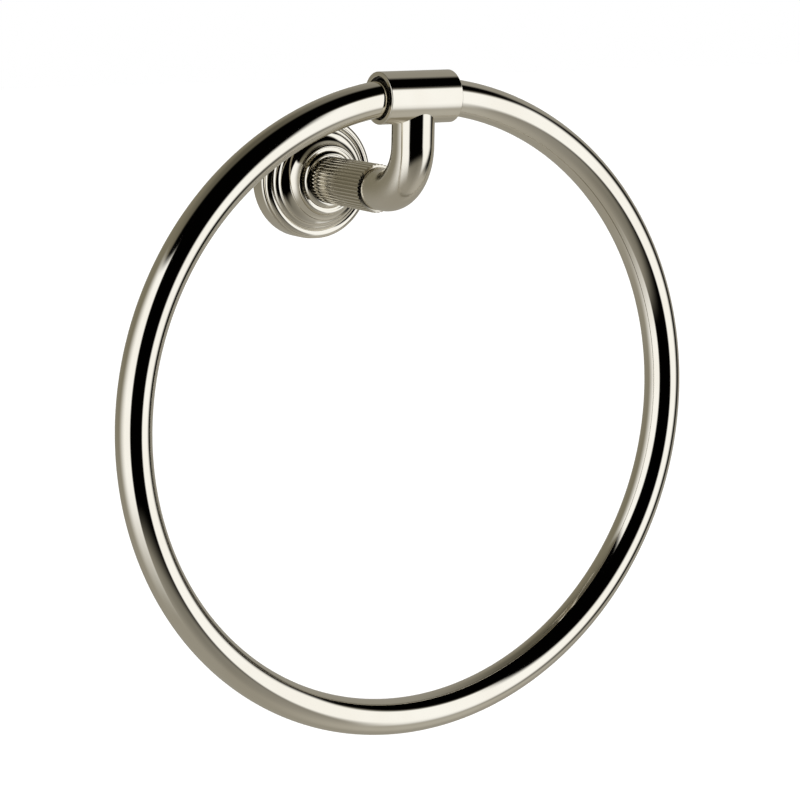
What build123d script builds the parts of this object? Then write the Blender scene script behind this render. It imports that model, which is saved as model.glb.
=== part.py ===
from build123d import *
import math
import os

# Towel ring on a fluted wall post, in millimetres.
# The wall is the plane Y = 0, the post stands out along -Y and +Z is up.
# The origin is the middle of the rosette's back face.

# Ring: a thin round tube bent to a hoop, its ends joined over a plug inside the sleeve
ring_outer_dia = 208.0
tube_dia = 11.4
tube_wall = 1.0
ring_end_gap = 0.3
plug_length = 18.0
plug_clearance = 0.05

# Arm: elbow and sleeve in one casting, with a tapped spigot behind
reach = 63.0
sleeve_rise = 30.5
arm_dia = 13.4
bend_radius = 15.5
neck_length = 4.9
spigot_dia = 9.0
spigot_length = 18.0
sleeve_length = 26.2
sleeve_wall = 1.5
sleeve_edge_round = 0.3
mouth_bevel = 0.15

# Bushes: dark liners pressed into the sleeve's mouths
bush_wall = 0.5
bush_length = 3.0
bush_inset = 1.2
bush_edge_round = 0.15
bush_fit = 0.02
tube_clearance = 0.5

# Collar: turned tube with straight flutes and a bevelled lip round the arm's neck
collar_lip = 0.9
collar_taper = 0.25
neck_seat = 1.0
neck_clearance = 0.15
spigot_clearance = 0.1
lip_bevel_width = 0.8
lip_bevel_depth = 0.32
flute_count = 40
flute_radius = 0.45
flute_depth = 0.3

# Rosette: mouldings from the rim inwards, then the hollow behind
rosette_dia = 39.8
rim_depth = 5.9
rim_round = 1.0
rim_groove_depth = 6.2
torus_setback = 0.3
torus_edge_depth = 7.35
torus_width = 2.55
torus_depth = 8.05
torus_radius = 2.05
swell_width = 1.35
swell_depth = 9.05
swell_radius = 2.4
ogee_width = 1.4
ogee_depth = 10.1
ogee_radius = 2.6
cove_width = 3.15
cove_depth = 14.15
cove_radius = 4.5
bead_width = 1.1
bead_depth = 14.5
bead_radius = 1.3
bead_groove_depth = 14.2
collar_bead_width = 1.7
collar_bead_edge_depth = 14.4
collar_bead_depth = 15.4
collar_bead_radius = 1.9
collar_seat_depth = 14.0
collar_seat_clearance = 0.1
rim_wall = 3.8

# Wall bracket: plate with an undercut edge that the grub screw bears on
bracket_thickness = 4.4
bracket_bore_dia = 11.0
bracket_undercut = 1.2
bracket_clearance = 0.3
wall_screw_dia = 4.5
wall_screw_head_dia = 8.4

# Fasteners
post_screw_dia = 6.0
post_screw_head_dia = 10.5
post_screw_head_height = 3.3
post_screw_key = 4.0
post_screw_key_depth = 2.0
post_screw_grip = 12.0
post_hole_clearance = 0.3
thread_clearance = 0.05
tap_run_out = 1.0
washer_dia = 12.0
washer_thickness = 1.2
washer_slit = 0.9
pocket_clearance = 0.4
grub_dia = 3.0
grub_key = 1.5
grub_key_depth = 1.3
grub_recess = 0.3
tip_clearance = 0.05

# Sizes that follow from those above
tube_radius = tube_dia / 2
ring_radius = ring_outer_dia / 2 - tube_radius
bush_bore_radius = tube_radius + tube_clearance
sleeve_bore_radius = bush_bore_radius + bush_wall + bush_fit
sleeve_radius = sleeve_bore_radius + sleeve_wall
bush_middle = sleeve_length / 2 - bush_inset - bush_length / 2
ring_lift = ring_radius - math.sqrt(ring_radius**2 - bush_middle**2)
ring_middle_z = sleeve_rise + ring_lift - ring_radius

arm_radius = arm_dia / 2
spigot_radius = spigot_dia / 2
neck_start_depth = reach - bend_radius - neck_length
collar_front_depth = neck_start_depth + neck_seat
neck_seat_radius = arm_radius + neck_clearance
collar_front_radius = neck_seat_radius + collar_lip
collar_base_radius = collar_front_radius - collar_taper
collar_bore_radius = spigot_radius + spigot_clearance

rosette_radius = rosette_dia / 2
cavity_radius = rosette_radius - rim_wall
bracket_radius = cavity_radius - bracket_clearance
cavity_depth = bracket_thickness + bracket_clearance
post_screw_radius = post_screw_dia / 2
washer_seat_depth = cavity_depth + post_screw_head_height + washer_thickness + pocket_clearance
pocket_radius = washer_dia / 2 + pocket_clearance
head_seat_depth = washer_seat_depth - washer_thickness
spigot_end_depth = neck_start_depth - spigot_length
post_screw_end_depth = spigot_end_depth + post_screw_grip
grub_radius = grub_dia / 2
grub_depth = bracket_thickness / 2
wall_screw_offset = (bracket_bore_dia / 2 + bracket_radius) / 2

# Sketches on this plane take a radius from the post's axis and a depth out from the wall
post_plane = Plane(origin=(0, 0, 0), x_dir=(1, 0, 0), z_dir=(0, 0, -1))
sleeve_place = Pos(0, -reach, sleeve_rise) * Rot(0, 90, 0)
ring_middle = Vector(0, -reach, ring_middle_z)
ring_axis = Axis(ring_middle, (0, -1, 0))


def turned_on_post(*outline):
    """Solid turned about the post's axis from the lines and arcs of a closed half section."""
    return revolve(post_plane * make_face(Curve() + list(outline)), axis=Axis.Y)


def rod_on_post(radius, start_depth, end_depth):
    """Round bar on the post's axis between two depths."""
    start = Plane(origin=(0, -start_depth, 0), z_dir=(0, -1, 0))
    return extrude(start * Circle(radius), amount=end_depth - start_depth)


def key_socket(width, depth, mouth):
    """Hexagonal key socket that opens at a plane and runs against its normal."""
    return extrude(mouth * RegularPolygon(width / 2, 6, major_radius=False), amount=-depth)


def bent_bar(section, start_angle, sweep_angle):
    """Section swung about the ring's axis, with angles counted from +X towards +Z."""
    angle = math.radians(start_angle)
    outward = Vector(math.cos(angle), 0, math.sin(angle))
    along = Vector(-math.sin(angle), 0, math.cos(angle))
    place = Plane(origin=ring_middle + outward * ring_radius, x_dir=outward, z_dir=along)
    return revolve(place * section, axis=ring_axis, revolution_arc=sweep_angle)


def arc_angle(length):
    """Angle in degrees that a length takes up along the ring's middle line."""
    return math.degrees(length / ring_radius)


def make_rosette():
    """Turned cover: rim, torus, swell, ogee, cove and beads, with room for plate and screw head behind."""
    rim_front_radius = rosette_radius - rim_round
    torus_outer = rosette_radius - torus_setback
    torus_inner = torus_outer - torus_width
    swell_inner = torus_inner - swell_width
    ogee_inner = swell_inner - ogee_width
    cove_inner = ogee_inner - cove_width
    bead_inner = cove_inner - bead_width
    seat_radius = collar_base_radius + collar_seat_clearance
    collar_bead_outer = seat_radius + collar_bead_width
    bore_radius = post_screw_radius + post_hole_clearance

    front = [
        Line((rosette_radius, 0), (rosette_radius, rim_depth - rim_round)),
        CenterArc((rim_front_radius, rim_depth - rim_round), rim_round, 0, 90),
        Polyline((rim_front_radius, rim_depth), (rim_front_radius, rim_groove_depth),
                 (torus_outer, torus_edge_depth)),
        RadiusArc((torus_outer, torus_edge_depth), (torus_inner, torus_depth), -torus_radius),
        RadiusArc((torus_inner, torus_depth), (swell_inner, swell_depth), -swell_radius),
        RadiusArc((swell_inner, swell_depth), (ogee_inner, ogee_depth), -ogee_radius),
        RadiusArc((ogee_inner, ogee_depth), (cove_inner, cove_depth), cove_radius),
        RadiusArc((cove_inner, cove_depth), (bead_inner, bead_depth), -bead_radius),
        Polyline((bead_inner, bead_depth), (bead_inner, bead_groove_depth),
                 (collar_bead_outer, bead_groove_depth), (collar_bead_outer, collar_bead_edge_depth)),
        RadiusArc((collar_bead_outer, collar_bead_edge_depth), (seat_radius, collar_bead_depth),
                  -collar_bead_radius),
    ]
    back = Polyline(
        (seat_radius, collar_bead_depth), (seat_radius, collar_seat_depth), (bore_radius, collar_seat_depth),
        (bore_radius, washer_seat_depth), (pocket_radius, washer_seat_depth), (pocket_radius, cavity_depth),
        (cavity_radius, cavity_depth), (cavity_radius, 0), (rosette_radius, 0))
    grub_mouth = Plane(origin=(0, -grub_depth, -rosette_radius), z_dir=(0, 0, 1))
    grub_run = rim_wall + bracket_clearance
    grub_hole = extrude(grub_mouth * Circle(grub_radius + thread_clearance), amount=grub_run, both=True)
    return turned_on_post(*front, back) - grub_hole


def make_wall_bracket():
    """Plate on the wall, undercut all round, with two countersunk holes for wall screws."""
    bore_radius = bracket_bore_dia / 2
    plate = turned_on_post(Polyline(
        (bore_radius, 0), (bracket_radius - bracket_undercut, 0), (bracket_radius, bracket_thickness),
        (bore_radius, bracket_thickness), close=True))
    front = Plane(origin=(0, -bracket_thickness, 0), x_dir=(1, 0, 0), z_dir=(0, -1, 0))
    hole = CounterSinkHole(wall_screw_dia / 2, wall_screw_head_dia / 2, depth=bracket_thickness)
    return plate - [front * Pos(side * wall_screw_offset, 0) * hole for side in (-1, 1)]


def make_grub_screw():
    """Cone-pointed set screw, standing on the bracket's undercut edge below the post."""
    undercut_radius = bracket_radius - bracket_undercut / 2
    tip = undercut_radius + tip_clearance
    head = rosette_radius - grub_recess
    profile = Polyline((0, tip), (grub_radius, tip + grub_radius), (grub_radius, head), (0, head), close=True)
    down_plane = Plane(origin=(0, -grub_depth, 0), x_dir=(1, 0, 0), z_dir=(0, 1, 0))
    screw = revolve(down_plane * make_face(profile), axis=Axis((0, -grub_depth, 0), (0, 0, 1)))
    mouth = Plane(origin=(0, -grub_depth, -head), z_dir=(0, 0, -1))
    return screw - key_socket(grub_key, grub_key_depth, mouth)


def make_fluted_collar():
    """Turned tube, a little wider in front, with flutes that run out through its bevelled lip."""
    bevel_start_depth = collar_front_depth - lip_bevel_depth
    body = turned_on_post(Polyline(
        (collar_bore_radius, collar_seat_depth), (collar_base_radius, collar_seat_depth),
        (collar_front_radius, bevel_start_depth),
        (collar_front_radius - lip_bevel_width, collar_front_depth),
        (neck_seat_radius, collar_front_depth), (neck_seat_radius, neck_start_depth),
        (collar_bore_radius, neck_start_depth), close=True))
    cutter_lift = flute_radius - flute_depth
    cutter_start = Vector(collar_base_radius + cutter_lift, -collar_seat_depth, 0)
    cutter_run = Vector(collar_taper, collar_seat_depth - bevel_start_depth, 0)
    cutter_plane = Plane(origin=cutter_start - cutter_run, z_dir=cutter_run)
    cutter = extrude(cutter_plane * Circle(flute_radius), amount=3 * cutter_run.length)
    turns = [360 * index / flute_count for index in range(flute_count)]
    return body - [Rot(0, turn, 0) * cutter for turn in turns]


def make_arm():
    """Cast elbow that runs up into the sleeve, bored for the ring, with its tapped spigot behind."""
    path = FilletPolyline(
        (0, -neck_start_depth, 0), (0, -reach, 0), (0, -reach, sleeve_rise), radius=bend_radius)
    elbow = sweep(Plane(origin=path @ 0, z_dir=path % 0) * Circle(arm_radius), path=path)
    barrel = Cylinder(sleeve_radius, sleeve_length)
    barrel = fillet(barrel.edges().filter_by(GeomType.CIRCLE), sleeve_edge_round)
    mouth_radius = sleeve_bore_radius + mouth_bevel
    bore = Cylinder(sleeve_bore_radius, 2 * sleeve_length)
    mouth_place = Pos(0, 0, sleeve_length / 2 - mouth_bevel / 2)
    mouth = mouth_place * Cone(sleeve_bore_radius, mouth_radius, mouth_bevel)
    other_mouth = Rot(180, 0, 0) * mouth
    spigot = rod_on_post(spigot_radius, spigot_end_depth, neck_start_depth)
    tapped_end = post_screw_end_depth + tap_run_out
    tapped_hole = rod_on_post(post_screw_radius + thread_clearance, spigot_end_depth, tapped_end)
    casting = elbow + spigot + sleeve_place * barrel
    return casting - [sleeve_place * bore, sleeve_place * mouth, sleeve_place * other_mouth, tapped_hole]


def make_post_screw():
    """Button-headed screw from behind the rosette into the arm's spigot."""
    head_radius = post_screw_head_dia / 2
    head_start = head_seat_depth - post_screw_head_height
    screw = turned_on_post(
        Polyline((head_radius, head_seat_depth), (post_screw_radius, head_seat_depth),
                 (post_screw_radius, post_screw_end_depth), (0, post_screw_end_depth), (0, head_start)),
        EllipticalCenterArc((0, head_seat_depth), head_radius, post_screw_head_height, 270, arc_size=90))
    mouth = Plane(origin=(0, -head_start, 0), x_dir=(1, 0, 0), z_dir=(0, 1, 0))
    return screw - key_socket(post_screw_key, post_screw_key_depth, mouth)


def make_lock_washer():
    """Split washer between the screw's head and the rosette."""
    washer = rod_on_post(washer_dia / 2, head_seat_depth, washer_seat_depth)
    hole = rod_on_post(post_screw_radius + post_hole_clearance, head_seat_depth, washer_seat_depth)
    slit = Pos(0, -washer_seat_depth, washer_dia / 2) * Box(washer_slit, 2 * washer_thickness, washer_dia)
    return washer - hole - slit


def make_ring():
    """Tube bent to a hoop, with its end gap at the top inside the sleeve."""
    section = Circle(tube_radius) - Circle(tube_radius - tube_wall)
    gap = arc_angle(ring_end_gap)
    return bent_bar(section, 90 + gap / 2, 360 - gap)


def make_ring_joint_plug():
    """Curved plug inside the tube across its end gap."""
    span = arc_angle(plug_length)
    return bent_bar(Circle(tube_radius - tube_wall - plug_clearance), 90 - span / 2, span)


def make_sleeve_bush(side):
    """Liner just inside one mouth of the sleeve, its bore a little larger than the tube."""
    bush = Cylinder(sleeve_bore_radius - bush_fit, bush_length) - Cylinder(bush_bore_radius, bush_length)
    bush = fillet(bush.edges().filter_by(GeomType.CIRCLE), bush_edge_round)
    return sleeve_place * Pos(0, 0, side * bush_middle) * bush


pieces = {
    "rosette": make_rosette(),
    "wall_bracket": make_wall_bracket(),
    "grub_screw": make_grub_screw(),
    "fluted_collar": make_fluted_collar(),
    "arm": make_arm(),
    "post_screw": make_post_screw(),
    "lock_washer": make_lock_washer(),
    "ring": make_ring(),
    "ring_joint_plug": make_ring_joint_plug(),
    "sleeve_bush_left": make_sleeve_bush(-1),
    "sleeve_bush_right": make_sleeve_bush(1),
}

os.makedirs("parts", exist_ok=True)
for name, piece in pieces.items():
    export_step(piece, f"parts/{name}.step")
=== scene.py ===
import math
import bmesh
import bpy
from mathutils import Matrix, Vector


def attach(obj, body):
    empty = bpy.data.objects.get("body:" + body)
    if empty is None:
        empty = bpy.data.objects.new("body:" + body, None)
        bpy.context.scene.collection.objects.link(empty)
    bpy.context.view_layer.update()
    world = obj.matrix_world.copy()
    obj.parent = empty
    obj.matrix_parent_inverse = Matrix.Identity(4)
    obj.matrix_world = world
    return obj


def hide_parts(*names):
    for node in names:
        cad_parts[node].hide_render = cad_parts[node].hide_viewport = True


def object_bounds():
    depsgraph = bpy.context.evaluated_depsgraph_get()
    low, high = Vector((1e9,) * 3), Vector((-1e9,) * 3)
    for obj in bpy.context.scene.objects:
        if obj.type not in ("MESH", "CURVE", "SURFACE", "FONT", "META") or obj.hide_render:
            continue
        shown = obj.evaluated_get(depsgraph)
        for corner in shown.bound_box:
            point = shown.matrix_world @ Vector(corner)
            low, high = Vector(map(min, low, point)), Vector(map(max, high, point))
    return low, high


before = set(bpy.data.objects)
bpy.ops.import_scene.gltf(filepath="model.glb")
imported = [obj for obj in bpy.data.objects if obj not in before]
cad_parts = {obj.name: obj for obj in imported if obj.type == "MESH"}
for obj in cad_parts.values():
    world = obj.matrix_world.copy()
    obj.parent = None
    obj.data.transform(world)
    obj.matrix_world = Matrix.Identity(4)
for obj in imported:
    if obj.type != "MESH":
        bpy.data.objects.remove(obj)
cad_low, cad_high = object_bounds()

# Wall bracket
# A turned steel plate with an undercut edge, drilled and countersunk for two wall screws.
# It is zinc plated, and it is the first piece to go on the wall.
mm = 0.001


class Signal:
    """A socket whose value varies over a surface. Sums written with it add Math nodes."""

    def __init__(self, finish, socket):
        self.finish = finish
        self.socket = socket

    def combine(self, operation, first, second):
        return self.finish.node("ShaderNodeMath", {"operation": operation}, {0: first, 1: second})

    def __add__(self, other):
        return self.combine("ADD", self, other)

    def __radd__(self, other):
        return self.combine("ADD", other, self)

    def __sub__(self, other):
        return self.combine("SUBTRACT", self, other)

    def __rsub__(self, other):
        return self.combine("SUBTRACT", other, self)

    def __mul__(self, other):
        return self.combine("MULTIPLY", self, other)

    def __rmul__(self, other):
        return self.combine("MULTIPLY", other, self)


class Finish:
    """The node tree of one finish, of the lit studio or of the floor."""

    def __init__(self, owner):
        owner.use_nodes = True
        self.tree = owner.node_tree
        self.tree.nodes.clear()

    def node(self, kind, settings=None, sockets=None, output=0):
        """Adds a node, sets it up, fills or links its sockets and gives one of its outputs."""
        made = self.tree.nodes.new(kind)
        for name, value in (settings or {}).items():
            setattr(made, name, value)
        for name, value in (sockets or {}).items():
            if isinstance(value, Signal):
                self.tree.links.new(value.socket, made.inputs[name])
            else:
                made.inputs[name].default_value = value
        return Signal(self, made.outputs[output]) if made.outputs else None

    def blend(self, share, first, second):
        """Colour that goes from the first to the second as share goes from 0 to 1."""
        settings = {"data_type": "RGBA"}
        return self.node("ShaderNodeMix", settings, {0: share, 6: first, 7: second}, output=2)

    def rise(self, value, low, high):
        """Smooth step from 0 at low to 1 at high."""
        settings = {"interpolation_type": "SMOOTHSTEP"}
        return self.node("ShaderNodeMapRange", settings, {"Value": value, 1: low, 2: high})

    def noise(self, place, scale, detail=2.0):
        """Even cloudy pattern whose patches are 1 / scale metres across."""
        return self.node("ShaderNodeTexNoise", None, {"Vector": place, "Scale": scale, "Detail": detail})

    def split(self, place):
        """The X, Y and Z parts of a place or a direction."""
        parts = self.node("ShaderNodeSeparateXYZ", None, {0: place}).socket.node
        return [Signal(self, part) for part in parts.outputs]

    def distance(self, first, second):
        """Length of the slant that two steps at right angles make."""
        return self.node("ShaderNodeMath", {"operation": "SQRT"}, {0: first * first + second * second})


def object_place(finish):
    """Where a point of the piece is, in the piece's own metres."""
    return finish.node("ShaderNodeTexCoord", output="Object")


def all_over(finish):
    """The same share of a finish at every place of a piece."""
    return 1.0


# Dark tone of painted shade, blended into a metal's colour where its unshaded share is below one.
painted_shade_tone = (0.3, 0.265, 0.18, 1)


def metal(name, light_tone, dark_tone, polish, haze, waviness,
          grain_of=object_place, grain_scale=900.0, wear_of=all_over, unshaded_share_of=all_over):
    """Bare or plated metal: tone drifts slowly, fine grain and handling marks vary the polish, and a share
    below one paints shade into the colour as a dark tone.
    """
    material = bpy.data.materials.new(name)
    finish = Finish(material)
    place = object_place(finish)
    drift = finish.noise(place, scale=55.0)
    marks = finish.rise(finish.noise(place, scale=160.0, detail=5.0), 0.52, 0.75)
    grain = finish.noise(grain_of(finish), grain_scale, detail=3.0)
    colour = finish.blend(finish.rise(drift, 0.35, 0.65), light_tone, dark_tone)
    # Painted shade: the colour goes towards the dark shade tone where the unshaded share is below one.
    colour = finish.blend(unshaded_share_of(finish), painted_shade_tone, colour)
    roughness = polish * wear_of(finish) + haze * (0.6 * grain + 0.4 * marks)
    bump = finish.node(
        "ShaderNodeBump", None, {"Strength": 1.0, "Distance": waviness, "Height": grain + drift})
    surface = finish.node("ShaderNodeBsdfPrincipled", None, {
        "Base Color": colour, "Metallic": 1.0, "Roughness": roughness, "Normal": bump})
    finish.node("ShaderNodeOutputMaterial", None, {"Surface": surface})
    return material


def dress(piece, material):
    """Gives a piece its one material."""
    piece.data.materials.clear()
    piece.data.materials.append(material)


zinc_plate = metal(
    "zinc_plate", (0.62, 0.62, 0.60, 1), (0.52, 0.52, 0.51, 1), polish=0.24, haze=0.20, waviness=0.004 * mm)
dress(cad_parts["wall_bracket"], zinc_plate)

# Rosette
# The round cover of the post: turned from brass bar with a rim, a torus, a swell, an ogee, a cove and
# two beads, hollowed behind to go over the bracket, then polished and nickel plated.
rosette_radius = 19.9 * mm
rim_depth = 5.9 * mm
rim_round = 1.0 * mm
rim_groove_depth = 6.2 * mm
torus_outer = 19.6 * mm
torus_edge_depth = 7.35 * mm
torus_inner = 17.05 * mm
torus_depth = 8.05 * mm
torus_radius = 2.05 * mm
swell_inner = 15.7 * mm
swell_depth = 9.05 * mm
swell_radius = 2.4 * mm
ogee_inner = 14.3 * mm
ogee_depth = 10.1 * mm
ogee_radius = 2.6 * mm
cove_inner = 11.15 * mm
cove_depth = 14.15 * mm
cove_radius = 4.5 * mm
bead_inner = 10.05 * mm
bead_depth = 14.5 * mm
bead_radius = 1.3 * mm
bead_groove_depth = 14.2 * mm
collar_bead_width = 1.7 * mm
collar_bead_edge_depth = 14.4 * mm
collar_bead_depth = 15.4 * mm
collar_bead_radius = 1.9 * mm
collar_base_radius = 7.5 * mm
seat_radius = collar_base_radius + 0.1 * mm
collar_seat_depth = 14.0 * mm
post_bore_radius = 3.3 * mm
washer_seat_depth = 9.6 * mm
pocket_radius = 6.4 * mm
cavity_depth = 4.7 * mm
cavity_radius = 16.1 * mm
edge_break = 0.08 * mm
lathe_steps = 256


def arc(middle, across, along, start, end, steps=12):
    """Points of a round or oval stretch of an outline, by its two half axes, in degrees."""
    turns = [math.radians(start + (end - start) * index / steps) for index in range(steps + 1)]
    return [(middle[0] + across * math.cos(turn), middle[1] + along * math.sin(turn)) for turn in turns]


def bow(first, last, radius, steps=16):
    """Points of a round stretch of an outline between two points. A negative radius hollows it."""
    first = Vector(first)
    last = Vector(last)
    half = (last - first).length / 2
    outward = Vector((last.y - first.y, first.x - last.x)).normalized()
    rise = math.copysign(math.sqrt(radius**2 - half**2), radius)
    middle = (first + last) / 2 - outward * rise
    start = math.degrees(math.atan2(first.y - middle.y, first.x - middle.x))
    sweep = math.degrees(2 * math.asin(half / radius))
    return arc(middle, abs(radius), abs(radius), start, start + sweep, steps)


def stretch(first, last):
    """A straight stretch of an outline, with a point close to each end to keep its shading flat."""
    first = Vector(first)
    last = Vector(last)
    inset = (last - first).normalized() * min(edge_break, (last - first).length / 4)
    return [tuple(first), tuple(first + inset), tuple(last - inset), tuple(last)]


def start_piece(name, place):
    """New piece that is one point, with its mesh open for editing."""
    bpy.ops.object.select_all(action="DESELECT")
    bpy.ops.mesh.primitive_plane_add(size=1 * mm, location=place)
    bpy.context.object.name = name
    bpy.ops.object.transform_apply(location=True, rotation=True, scale=True)
    bpy.ops.object.mode_set(mode="EDIT")
    bpy.ops.mesh.select_mode(type="VERT")
    bpy.ops.mesh.select_all(action="SELECT")
    bpy.ops.mesh.merge(type="CENTER")
    return bpy.context.object


def draw_on(points):
    """Draws a line from the selected point through the points."""
    mesh = bmesh.from_edit_mesh(bpy.context.object.data)
    here = next(point.co.copy() for point in mesh.verts if point.select)
    for point in points:
        step = Vector(point) - here
        if step.length > 1e-7:
            bpy.ops.mesh.extrude_vertices_move(TRANSFORM_OT_translate={"value": step})
            here = here + step


def close_mesh():
    """Joins what meets, turns all faces outwards and leaves the edit."""
    bpy.ops.mesh.select_all(action="SELECT")
    bpy.ops.mesh.remove_doubles(threshold=0.002 * mm)
    bpy.ops.mesh.normals_make_consistent(inside=False)
    bpy.ops.object.mode_set(mode="OBJECT")


def smooth(sharp_from=30):
    """Smooth shading, with the edges sharper than an angle kept crisp."""
    bpy.ops.object.shade_smooth_by_angle(angle=math.radians(sharp_from))


def turned(name, outline, placed, centre, axis, steps=lathe_steps):
    """Piece turned on a lathe: an outline of (radius, along) points spun about an axis."""
    points = [placed(radius, along) for radius, along in outline]
    piece = start_piece(name, points[0])
    draw_on(points[1:])
    bpy.ops.mesh.select_all(action="SELECT")
    bpy.ops.mesh.spin(steps=steps, angle=math.tau, center=centre, axis=axis)
    close_mesh()
    smooth()
    return piece


def on_post(radius, depth):
    """Point beside the post's axis, a depth out from the wall."""
    return Vector((radius, -depth, 0))


def cut(piece, tool, operation):
    """Cuts a tool piece out of a piece or joins it on, and takes the tool away."""
    bpy.ops.object.select_all(action="DESELECT")
    bpy.context.view_layer.objects.active = piece
    piece.select_set(True)
    bpy.ops.object.modifier_add(type="BOOLEAN")
    piece.modifiers[-1].operation = operation
    piece.modifiers[-1].solver = "EXACT"
    piece.modifiers[-1].object = tool
    bpy.ops.object.modifier_apply(modifier=piece.modifiers[-1].name)
    bpy.data.objects.remove(tool)
    smooth()


rim_front_radius = rosette_radius - rim_round
collar_bead_outer = seat_radius + collar_bead_width

rosette_outline = [
    *stretch((rosette_radius, 0), (rosette_radius, rim_depth - rim_round)),
    *arc((rim_front_radius, rim_depth - rim_round), rim_round, rim_round, 0, 90),
    *stretch((rim_front_radius, rim_depth), (rim_front_radius, rim_groove_depth)),
    *stretch((rim_front_radius, rim_groove_depth), (torus_outer, torus_edge_depth)),
    *bow((torus_outer, torus_edge_depth), (torus_inner, torus_depth), torus_radius, steps=32),
    *bow((torus_inner, torus_depth), (swell_inner, swell_depth), swell_radius),
    *bow((swell_inner, swell_depth), (ogee_inner, ogee_depth), ogee_radius),
    *bow((ogee_inner, ogee_depth), (cove_inner, cove_depth), -cove_radius, steps=32),
    *bow((cove_inner, cove_depth), (bead_inner, bead_depth), bead_radius, steps=20),
    *stretch((bead_inner, bead_depth), (bead_inner, bead_groove_depth)),
    *stretch((bead_inner, bead_groove_depth), (collar_bead_outer, bead_groove_depth)),
    *stretch((collar_bead_outer, bead_groove_depth), (collar_bead_outer, collar_bead_edge_depth)),
    *bow((collar_bead_outer, collar_bead_edge_depth), (seat_radius, collar_bead_depth), collar_bead_radius,
         steps=20),
    *stretch((seat_radius, collar_bead_depth), (seat_radius, collar_seat_depth)),
    *stretch((seat_radius, collar_seat_depth), (post_bore_radius, collar_seat_depth)),
    *stretch((post_bore_radius, collar_seat_depth), (post_bore_radius, washer_seat_depth)),
    *stretch((post_bore_radius, washer_seat_depth), (pocket_radius, washer_seat_depth)),
    *stretch((pocket_radius, washer_seat_depth), (pocket_radius, cavity_depth)),
    *stretch((pocket_radius, cavity_depth), (cavity_radius, cavity_depth)),
    *stretch((cavity_radius, cavity_depth), (cavity_radius, 0)),
    *stretch((cavity_radius, 0), (rosette_radius, 0)),
]
rosette = turned("rosette_moulded", rosette_outline, on_post, (0, 0, 0), (0, 1, 0))

grub_hole_radius = 1.55 * mm
grub_depth = 2.2 * mm
grub_hole_run = 8.0 * mm
bpy.ops.object.select_all(action="DESELECT")
bpy.ops.mesh.primitive_cylinder_add(
    vertices=48, radius=grub_hole_radius, depth=grub_hole_run, location=(0, -grub_depth, -rosette_radius))
cut(rosette, bpy.context.object, "DIFFERENCE")


def round_post(finish):
    """Place that is the same all round the post, so that a pattern on it makes lathe lines."""
    across, depth, upward = finish.split(object_place(finish))
    return finish.node("ShaderNodeCombineXYZ", None, {"X": finish.distance(across, upward), "Y": depth})


nickel_light = (0.81, 0.77, 0.675, 1)
nickel_dark = (0.79, 0.745, 0.645, 1)
turned_nickel = metal(
    "turned_nickel", nickel_light, nickel_dark, polish=0.035, haze=0.05, waviness=0.00005 * mm,
    grain_of=round_post, grain_scale=2500.0)
dress(rosette, turned_nickel)
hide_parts("rosette")
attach(rosette, "wall_post")

# Grub screw
# A cone-pointed steel set screw in the underside of the rosette's rim, blackened and oiled.
# It bears on the bracket's undercut edge and draws the rosette to the wall.
screw_steel = metal(
    "screw_steel", (0.36, 0.35, 0.34, 1), (0.27, 0.265, 0.26, 1), polish=0.28, haze=0.22, waviness=0.004 * mm)
dress(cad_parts["grub_screw"], screw_steel)

# Fluted collar
# A brass tube, a little wider in front, with straight flutes milled along it that run out through
# its bevelled front lip. It is polished and nickel plated, and stands in the rosette's seat.
collar_front_radius = 7.75 * mm
collar_front_depth = 43.6 * mm
collar_bore_radius = 4.6 * mm
neck_seat_radius = 6.85 * mm
neck_start_depth = 42.6 * mm
lip_bevel_width = 0.8 * mm
lip_bevel_depth = 0.32 * mm
flute_count = 40
flute_radius = 0.45 * mm
flute_depth = 0.3 * mm
flute_steps = 12
land_steps = 4
bevel_start_depth = collar_front_depth - lip_bevel_depth

cutter_radius = collar_base_radius + flute_radius - flute_depth
half_groove = math.acos(
    (cutter_radius**2 + flute_radius**2 - collar_base_radius**2) / (2 * cutter_radius * flute_radius))
groove = []
for index in range(flute_steps + 1):
    turn = half_groove * (2 * index / flute_steps - 1)
    across = flute_radius * math.sin(turn)
    outward = cutter_radius - flute_radius * math.cos(turn)
    groove.append(Vector((outward, -collar_seat_depth, across)))
groove_edge = math.atan2(groove[-1].z, groove[-1].x)
land = []
for index in range(1, land_steps + 1):
    turn = groove_edge + (math.tau / flute_count - 2 * groove_edge) * index / land_steps
    spoke = Vector((math.cos(turn), 0, math.sin(turn))) * collar_base_radius
    land.append(spoke - Vector((0, collar_seat_depth, 0)))

collar = start_piece("collar_fluted", groove[0])
draw_on(groove[1:] + land)
bpy.ops.mesh.select_all(action="SELECT")
bpy.ops.mesh.spin(steps=flute_count, dupli=True, angle=math.tau, center=(0, 0, 0), axis=(0, 1, 0))
bpy.ops.mesh.select_all(action="SELECT")
bpy.ops.mesh.remove_doubles(threshold=0.002 * mm)


def select_points(wanted):
    """Selects the points of the open mesh that a test on their place wants."""
    bpy.ops.mesh.select_mode(type="VERT")
    bpy.ops.mesh.select_all(action="DESELECT")
    mesh = bmesh.from_edit_mesh(bpy.context.object.data)
    for point in mesh.verts:
        point.select = wanted(point.co)
    mesh.select_flush(True)
    bmesh.update_edit_mesh(bpy.context.object.data)


def draw_out(depth_step, widen, depth):
    """Draws the selected ring of points out along the post and widens it there."""
    bpy.ops.mesh.extrude_region_move(TRANSFORM_OT_translate={"value": (0, -depth_step, 0)})
    bpy.ops.transform.resize(value=(widen, 1, widen), center_override=(0, -depth, 0))


def radius_of(place):
    """How far a place is from the post's axis."""
    return math.hypot(place.x, place.z)


collar_runs = 8
run_length = (bevel_start_depth - collar_seat_depth) / collar_runs
run_widening = (collar_front_radius - collar_base_radius) / collar_runs
select_points(lambda place: True)
for index in range(collar_runs):
    old_radius = collar_base_radius + run_widening * index
    draw_out(run_length, 1 + run_widening / old_radius, collar_seat_depth + run_length * (index + 1))

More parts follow.
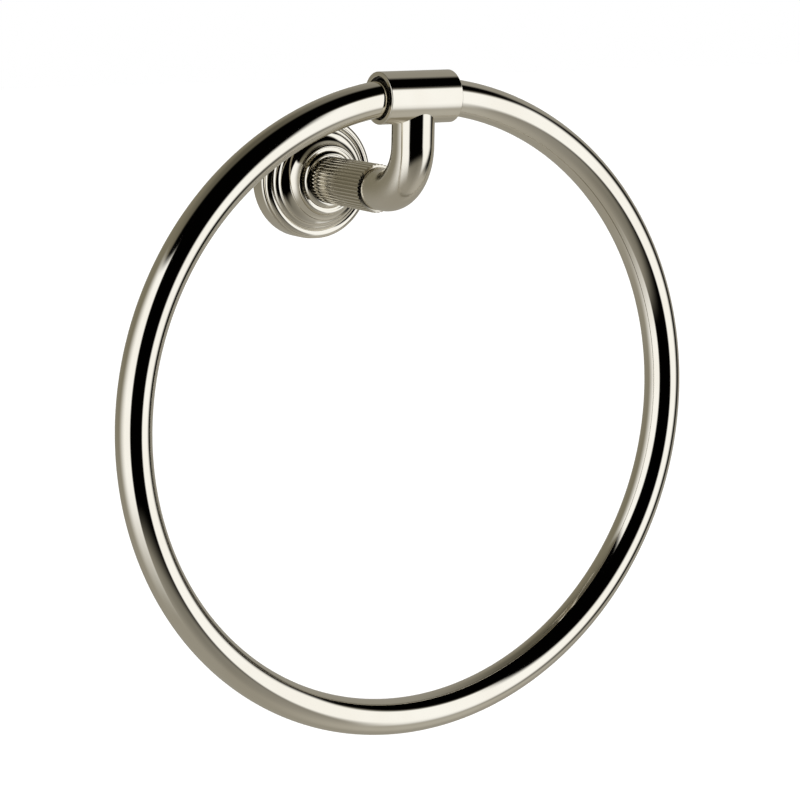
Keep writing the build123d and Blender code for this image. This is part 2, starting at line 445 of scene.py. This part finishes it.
widening = collar_front_radius / collar_base_radius
levels = sorted({round(radius_of(point) * widening, 8) for point in groove[: flute_steps // 2 + 1]})
tolerance = 0.002 * mm
for level in levels:
    select_points(lambda place: place.y < -bevel_start_depth + tolerance
                  and abs(radius_of(place) - level) < tolerance)
    drop = (collar_front_radius - level) * lip_bevel_depth / lip_bevel_width
    if drop > tolerance:
        bpy.ops.transform.translate(value=(0, -drop, 0))
select_points(lambda place: place.y < -bevel_start_depth + tolerance)
bpy.ops.mesh.extrude_region_move(TRANSFORM_OT_translate={"value": (0, -2 * lip_bevel_depth, 0)})
lip_radius = collar_front_radius - lip_bevel_width
bpy.ops.transform.resize(value=(1, 0, 1), center_override=(0, -collar_front_depth, 0))
for level in levels:
    select_points(lambda place: place.y < -collar_front_depth + tolerance
                  and abs(radius_of(place) - level) < tolerance)
    bpy.ops.transform.resize(
        value=(lip_radius / level, 1, lip_radius / level), center_override=(0, -collar_front_depth, 0))
select_points(lambda place: place.y < -collar_front_depth + tolerance)
draw_out(0, neck_seat_radius / lip_radius, collar_front_depth)
draw_out(neck_start_depth - collar_front_depth, 1, neck_start_depth)
draw_out(0, collar_bore_radius / neck_seat_radius, neck_start_depth)
draw_out(collar_seat_depth - neck_start_depth, 1, collar_seat_depth)
select_points(lambda place: place.y > -collar_seat_depth - tolerance)
bpy.ops.mesh.select_mode(type="EDGE")
bpy.ops.mesh.bridge_edge_loops()
close_mesh()
smooth(sharp_from=32)


def along_post(finish):
    """Place that is the same all along the post, so that a pattern on it makes lengthwise lines."""
    return finish.node(
        "ShaderNodeMapping", None, {"Vector": object_place(finish), "Scale": (1.0, 0.02, 1.0)})


land_slope = (collar_front_radius - collar_base_radius) / (bevel_start_depth - collar_seat_depth)
# How deep in the flutes the painted shade starts and is full, how it fades out at the lip, and how strong it
# is.
shaded_below = 0.27 * mm
unshaded_above = 0.07 * mm
lip_fade = 0.1 * mm
flute_shade_strength = 0.65


def unshaded_on_lands(finish):
    """One on the lands and the lip, and less down in the flutes, where shade is painted into the colour."""
    across, along, upward = finish.split(object_place(finish))
    depth = 0 - along
    land_radius = collar_base_radius + land_slope * (depth - collar_seat_depth)
    sunk_by = finish.distance(across, upward) - land_radius
    in_flute = 1 - finish.rise(sunk_by, -shaded_below, -unshaded_above)
    behind_lip = 1 - finish.rise(depth, bevel_start_depth - lip_fade, bevel_start_depth)
    return 1 - flute_shade_strength * in_flute * behind_lip


# The milled nickel has painted shade down in its flutes.
milled_nickel = metal(
    "milled_nickel", nickel_light, nickel_dark, polish=0.12, haze=0.05, waviness=0.00005 * mm,
    grain_of=along_post, grain_scale=2200.0, unshaded_share_of=unshaded_on_lands)
dress(collar, milled_nickel)
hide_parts("fluted_collar")
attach(collar, "wall_post")

# Arm
# One brass casting: a round elbow that turns up into a short horizontal sleeve bored for the ring,
# with a tapped spigot behind that goes down the collar. It is polished by hand and nickel plated.
reach = 63.0 * mm
sleeve_rise = 30.5 * mm
arm_radius = 6.7 * mm
bend_radius = 15.5 * mm
neck_length = 4.9 * mm
spigot_radius = 4.5 * mm
spigot_length = 18.0 * mm
tapped_radius = 3.05 * mm
tapped_length = 13.0 * mm
sleeve_length = 26.2 * mm
sleeve_radius = 8.22 * mm
sleeve_bore_radius = 6.72 * mm
sleeve_edge_round = 0.3 * mm
mouth_bevel = 0.15 * mm
arm_steps = 160
bend_steps = 64

bpy.ops.object.select_all(action="DESELECT")
bpy.ops.mesh.primitive_circle_add(
    vertices=arm_steps, radius=arm_radius, fill_type="NGON",
    location=(0, -neck_start_depth, 0), rotation=(math.pi / 2, 0, 0))
arm = bpy.context.object
arm.name = "arm_cast"
bpy.ops.object.transform_apply(location=True, rotation=True, scale=True)
bpy.ops.object.mode_set(mode="EDIT")


def select_face_at(place):
    """Selects the one face whose middle is nearest to a place."""
    bpy.ops.mesh.select_mode(type="FACE")
    bpy.ops.mesh.select_all(action="DESELECT")
    mesh = bmesh.from_edit_mesh(bpy.context.object.data)
    nearest = min(mesh.faces, key=lambda face: (face.calc_center_median() - Vector(place)).length)
    nearest.select = True
    mesh.select_flush(True)
    bmesh.update_edit_mesh(bpy.context.object.data)


bpy.ops.mesh.select_all(action="SELECT")
bpy.ops.mesh.extrude_region_move(TRANSFORM_OT_translate={"value": (0, -neck_length, 0)})
bend_centre = (0, -(reach - bend_radius), bend_radius)
bpy.ops.mesh.spin(steps=bend_steps, angle=math.pi / 2, center=bend_centre, axis=(1, 0, 0))
bpy.ops.mesh.extrude_region_move(TRANSFORM_OT_translate={"value": (0, 0, sleeve_rise - bend_radius)})
select_face_at((0, -neck_start_depth, 0))
bpy.ops.mesh.inset(thickness=arm_radius - spigot_radius)
bpy.ops.mesh.extrude_region_move(TRANSFORM_OT_translate={"value": (0, spigot_length, 0)})
bpy.ops.mesh.inset(thickness=spigot_radius - tapped_radius)
bpy.ops.mesh.extrude_region_move(TRANSFORM_OT_translate={"value": (0, -tapped_length, 0)})
close_mesh()


def on_sleeve(radius, along):
    """Point above the sleeve's axis, a way along it from its middle."""
    return Vector((along, -reach, sleeve_rise + radius))


half_sleeve = sleeve_length / 2
end_middle = 1 * mm
barrel_edge = half_sleeve - sleeve_edge_round
barrel_round = sleeve_radius - sleeve_edge_round
barrel_outline = [
    (0, -half_sleeve),
    *stretch((end_middle, -half_sleeve), (barrel_round, -half_sleeve)),
    *arc((barrel_round, -barrel_edge), sleeve_edge_round, sleeve_edge_round, 270, 360, steps=8),
    *stretch((sleeve_radius, -barrel_edge), (sleeve_radius, barrel_edge)),
    *arc((barrel_round, barrel_edge), sleeve_edge_round, sleeve_edge_round, 0, 90, steps=8),
    *stretch((barrel_round, half_sleeve), (end_middle, half_sleeve)),
    (0, half_sleeve),
]
sleeve_axis = ((0, -reach, sleeve_rise), (1, 0, 0))
barrel = turned("barrel", barrel_outline, on_sleeve, *sleeve_axis, steps=arm_steps * 2)
mouth_start = half_sleeve - mouth_bevel
past_end = half_sleeve + mouth_bevel
wide_mouth = sleeve_bore_radius + 2 * mouth_bevel
bore_outline = [
    (0, -past_end), (wide_mouth, -past_end), (sleeve_bore_radius, -mouth_start),
    (sleeve_bore_radius, mouth_start), (wide_mouth, past_end), (0, past_end),
]
bore = turned("bore", bore_outline, on_sleeve, *sleeve_axis, steps=arm_steps)
cut(arm, barrel, "UNION")
cut(arm, bore, "DIFFERENCE")

buffed_from = 6 * mm
buffed_to = 16 * mm
buffing = 0.75


def soft_in_bend(finish):
    """One in the bend, where a buffing wheel reaches least, and less up the arm and on the sleeve."""
    upward = finish.split(object_place(finish))[2]
    return 1 - buffing * finish.rise(upward, buffed_from, buffed_to)


hand_polished_nickel = metal(
    "hand_polished_nickel", nickel_light, nickel_dark, polish=0.16, haze=0.05, waviness=0.0003 * mm,
    grain_scale=700.0, wear_of=soft_in_bend)
dress(arm, hand_polished_nickel)
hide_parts("arm")
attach(arm, "wall_post")

# Post screw and lock washer
# A button-headed steel screw goes in from behind the rosette, over a split spring washer, and pulls
# rosette, collar and arm together. Both are the same blackened steel as the grub screw.
dress(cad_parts["post_screw"], screw_steel)
dress(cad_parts["lock_washer"], screw_steel)

# Sleeve bushes
# Two thin dark plastic liners pressed into the sleeve's mouths, so that the ring doesn't wear the
# plating. They are moulded, with a faint satin texture.
bush_bore_radius = 6.2 * mm
bush_radius = 6.7 * mm
bush_length = 3.0 * mm
bush_middle = 10.4 * mm
bush_round = 0.15 * mm
inner_round = bush_bore_radius + bush_round
outer_round = bush_radius - bush_round
near_end = -bush_middle - bush_length / 2
far_end = -bush_middle + bush_length / 2
bush_outline = [
    *stretch((inner_round, near_end), (outer_round, near_end)),
    *arc((outer_round, near_end + bush_round), bush_round, bush_round, 270, 360, steps=6),
    *stretch((bush_radius, near_end + bush_round), (bush_radius, far_end - bush_round)),
    *arc((outer_round, far_end - bush_round), bush_round, bush_round, 0, 90, steps=6),
    *stretch((outer_round, far_end), (inner_round, far_end)),
    *arc((inner_round, far_end - bush_round), bush_round, bush_round, 90, 180, steps=6),
    *stretch((bush_bore_radius, far_end - bush_round), (bush_bore_radius, near_end + bush_round)),
    *arc((inner_round, near_end + bush_round), bush_round, bush_round, 180, 270, steps=6),
]
left_bush = turned("bush_left", bush_outline, on_sleeve, *sleeve_axis, steps=128)
bpy.ops.object.duplicate()
right_bush = bpy.context.object
right_bush.name = "bush_right"
bpy.ops.object.mode_set(mode="EDIT")
bpy.ops.mesh.select_all(action="SELECT")
bpy.ops.transform.translate(value=(2 * bush_middle, 0, 0))
bpy.ops.object.mode_set(mode="OBJECT")


def dark_plastic(name, light_tone, dark_tone):
    """Moulded plastic: even dark tone, satin, with a fine pebbled skin."""
    material = bpy.data.materials.new(name)
    finish = Finish(material)
    place = object_place(finish)
    pebble = finish.noise(place, scale=6000.0, detail=3.0)
    cloud = finish.noise(place, scale=300.0)
    bump = finish.node(
        "ShaderNodeBump", None, {"Strength": 0.5, "Distance": 0.01 * mm, "Height": pebble})
    surface = finish.node("ShaderNodeBsdfPrincipled", None, {
        "Base Color": finish.blend(cloud, light_tone, dark_tone), "Roughness": 0.35 + 0.2 * pebble,
        "Normal": bump})
    finish.node("ShaderNodeOutputMaterial", None, {"Surface": surface})
    return material


liner_plastic = dark_plastic("liner_plastic", (0.030, 0.028, 0.025, 1), (0.018, 0.017, 0.016, 1))
for bush, node in ((left_bush, "sleeve_bush_left"), (right_bush, "sleeve_bush_right")):
    dress(bush, liner_plastic)
    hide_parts(node)
    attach(bush, "wall_post")

# Ring and its joint plug
# A drawn brass tube bent to a hoop, polished and nickel plated. It goes through the sleeve, and its
# two ends meet in there over a short plug of bare brass.
tube_radius = 5.7 * mm
tube_wall = 1.0 * mm
ring_radius = 98.3 * mm
ring_end_gap = 0.3 * mm
ring_middle_z = -67.248 * mm
tube_steps = 72
hoop_steps = 512

bpy.ops.object.select_all(action="DESELECT")
bpy.ops.mesh.primitive_circle_add(
    vertices=tube_steps, radius=tube_radius,
    location=(-ring_end_gap / 2, -reach, ring_middle_z + ring_radius), rotation=(0, math.pi / 2, 0))
ring = bpy.context.object
ring.name = "ring_hoop"
bpy.ops.object.transform_apply(location=True, rotation=True, scale=True)
bpy.ops.object.mode_set(mode="EDIT")
bpy.ops.mesh.select_all(action="SELECT")
bpy.ops.mesh.spin(
    steps=hoop_steps, angle=math.tau - ring_end_gap / ring_radius,
    center=(0, -reach, ring_middle_z), axis=(0, -1, 0))
close_mesh()
bpy.ops.object.modifier_add(type="SOLIDIFY")
ring.modifiers[-1].thickness = tube_wall
ring.modifiers[-1].offset = -1
bpy.ops.object.modifier_apply(modifier=ring.modifiers[-1].name)
smooth()


def along_hoop(finish):
    """Place that is the same all along the hoop, so that a pattern on it makes drawn lines."""
    across, depth, upward = finish.split(object_place(finish))
    radius = finish.distance(across, upward - ring_middle_z)
    return finish.node("ShaderNodeCombineXYZ", None, {"X": radius, "Y": depth})


drawn_nickel = metal(
    "drawn_nickel", nickel_light, nickel_dark, polish=0.035, haze=0.05, waviness=0.0004 * mm,
    grain_of=along_hoop, grain_scale=1600.0)
dress(ring, drawn_nickel)
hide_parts("ring")
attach(ring, "towel_ring")

bare_brass = metal(
    "bare_brass", (0.72, 0.53, 0.24, 1), (0.62, 0.44, 0.19, 1), polish=0.22, haze=0.2, waviness=0.003 * mm)
dress(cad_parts["ring_joint_plug"], bare_brass)

# Studio
# Two white softboxes, black cards between and above them and a warm grey room, as the polished
# metal shows them. The background itself is white, and a pale floor lies well below the ring.
scene = bpy.context.scene
scene.view_settings.view_transform = "Standard"
studio = bpy.data.worlds.new("studio")
scene.world = studio
light = Finish(studio)
toward_x, toward_y, toward_z = light.split(light.node("ShaderNodeTexCoord"))
degrees = 180 / math.pi
azimuth = degrees * light.node("ShaderNodeMath", {"operation": "ARCTAN2"}, {0: toward_x, 1: 0 - toward_y})
elevation = degrees * light.node("ShaderNodeMath", {"operation": "ARCSINE"}, {0: toward_z})

floor_back = (0.36, 0.345, 0.305, 1)
floor_right = (0.5, 0.485, 0.445, 1)
wall_left = (0.23, 0.214, 0.163, 1)
wall_right = (0.35, 0.338, 0.305, 1)
softbox_white = (1.17, 1.19, 1.23, 1)
card_black = (0.0006, 0.0005, 0.0004, 1)
wall_top_dimming = 0.5
front_dimming = 0.35

lit_floor = light.rise(toward_x, -0.05, 0.5) * (1 - light.rise(toward_y, -0.2, 0.35))
floor_tone = light.blend(lit_floor, floor_back, floor_right)
wall_tone = light.blend(wall_top_dimming * light.rise(elevation, 30, 65), wall_left, card_black)
wall_tone = light.blend(light.rise(toward_x, -0.1, 0.7), wall_tone, wall_right)
room = light.blend(light.rise(elevation, -48, 16), floor_tone, wall_tone)
room = light.blend(front_dimming * light.rise(0 - toward_y, 0.25, 0.9), room, card_black)

left_box_outer_edge = (-136, -81)
left_box_inner_edge = (-57, -49)
left_box_lean = 0.12
left_box_top = (33, 40)
right_box_inner_edge = (16, 25)
right_box_inner_lean = 0.4
right_box_outer_edge = (64, 86)
right_box_outer_lean = 0.78
right_box_top = (28, 36)
box_foot = (-62, -19)
front_card_foot = (-32, -17)
front_card_lean = 0.17
ceiling_back_edge = (-0.04, 0.22)
ceiling_front_edge = (30, 41)
side_card_near_edge = (70, 84)
side_card_far_edge = (95, 112)
side_card_foot = (-42, -24)
side_card_top = (36, 54)
side_card_top_lean = 0.9
side_card_bend = 22
side_card_strength = 0.98

sunk = light.node("ShaderNodeMath", {"operation": "MINIMUM"}, {0: elevation, 1: 0.0})
raised = light.node("ShaderNodeMath", {"operation": "MAXIMUM"}, {0: elevation - side_card_bend, 1: 0.0})
below_fade = light.rise(elevation, *box_foot)
left_edge = light.rise(azimuth + left_box_lean * elevation, *left_box_inner_edge)
left_softbox = (light.rise(azimuth, *left_box_outer_edge) * (1 - left_edge)
                * below_fade * (1 - light.rise(elevation, *left_box_top)))
right_edge = light.rise(azimuth + right_box_inner_lean * sunk, *right_box_inner_edge)
right_place = azimuth - right_box_outer_lean * sunk
right_softbox = (right_edge * (1 - light.rise(right_place, *right_box_outer_edge))
                 * below_fade * (1 - light.rise(elevation, *right_box_top)))
front_card = (left_edge * (1 - right_edge)
              * light.rise(elevation - front_card_lean * azimuth, *front_card_foot))
ceiling_card = (1 - light.rise(toward_y, *ceiling_back_edge)) * light.rise(elevation, *ceiling_front_edge)
side_place = right_place + side_card_top_lean * raised
side_card = (light.rise(side_place, *side_card_near_edge) * (1 - light.rise(side_place, *side_card_far_edge))
             * light.rise(elevation, *side_card_foot) * (1 - light.rise(elevation, *side_card_top)))

colour = light.blend(front_card, room, card_black)
colour = light.blend(ceiling_card, colour, card_black)
colour = light.blend(side_card_strength * side_card, colour, card_black)
colour = light.blend(left_softbox, colour, softbox_white)
colour = light.blend(right_softbox, colour, softbox_white)
seen_by_camera = light.node("ShaderNodeLightPath", output="Is Camera Ray")
colour = light.blend(seen_by_camera, colour, (1, 1, 1, 1))
glow = light.node("ShaderNodeBackground", None, {"Color": colour})
light.node("ShaderNodeOutputWorld", None, {"Surface": glow})

floor_drop = 0.95
floor_side = 24.0
bpy.ops.object.select_all(action="DESELECT")
bpy.ops.mesh.primitive_plane_add(size=floor_side, location=(0, 0, cad_low.z - floor_drop))
floor = bpy.context.object
floor.name = "floor"
floor.visible_glossy = False
floor_paint = bpy.data.materials.new("floor_paint")
paint = Finish(floor_paint)
matt = paint.node("ShaderNodeBsdfDiffuse", None, {"Color": (0.86, 0.86, 0.86, 1)})
seen = paint.node("ShaderNodeLightPath", output="Is Camera Ray")
lift = paint.node("ShaderNodeEmission", None, {"Strength": 0.3 * seen})
coat = paint.node("ShaderNodeAddShader", None, {0: matt, 1: lift})
paint.node("ShaderNodeOutputMaterial", None, {"Surface": coat})
dress(floor, floor_paint)

bpy.ops.object.light_add(type="SUN", rotation=(math.radians(12), math.radians(-14), 0))
overhead = bpy.context.object
overhead.name = "overhead_diffuser"
overhead.data.energy = 2.4
overhead.data.angle = math.radians(50)
overhead.visible_glossy = False

# Camera
# It stands to the left of the post and a little above the ring, a long way off with a long lens.
camera_azimuth = math.radians(-32.881)
camera_elevation = math.radians(8.684)
camera_roll = math.radians(1.15)
camera_distance = 1422.3 * mm
aim_right = -2.39 * mm
aim_up = 2.60 * mm
focal_pixels = 4539.6
image_pixels = 800
bpy.ops.object.camera_add()
camera = bpy.context.object
camera.data.sensor_width = 36.0
camera.data.lens = focal_pixels / image_pixels * camera.data.sensor_width
camera.data.clip_end = 100.0
turn = Matrix.Rotation(camera_azimuth, 4, "Z") @ Matrix.Rotation(math.pi / 2 - camera_elevation, 4, "X")
stand = Vector((0, -reach, ring_middle_z)) + turn @ Vector((aim_right, aim_up, camera_distance))
camera.matrix_world = Matrix.Translation(stand) @ turn @ Matrix.Rotation(camera_roll, 4, "Z")
scene.camera = camera
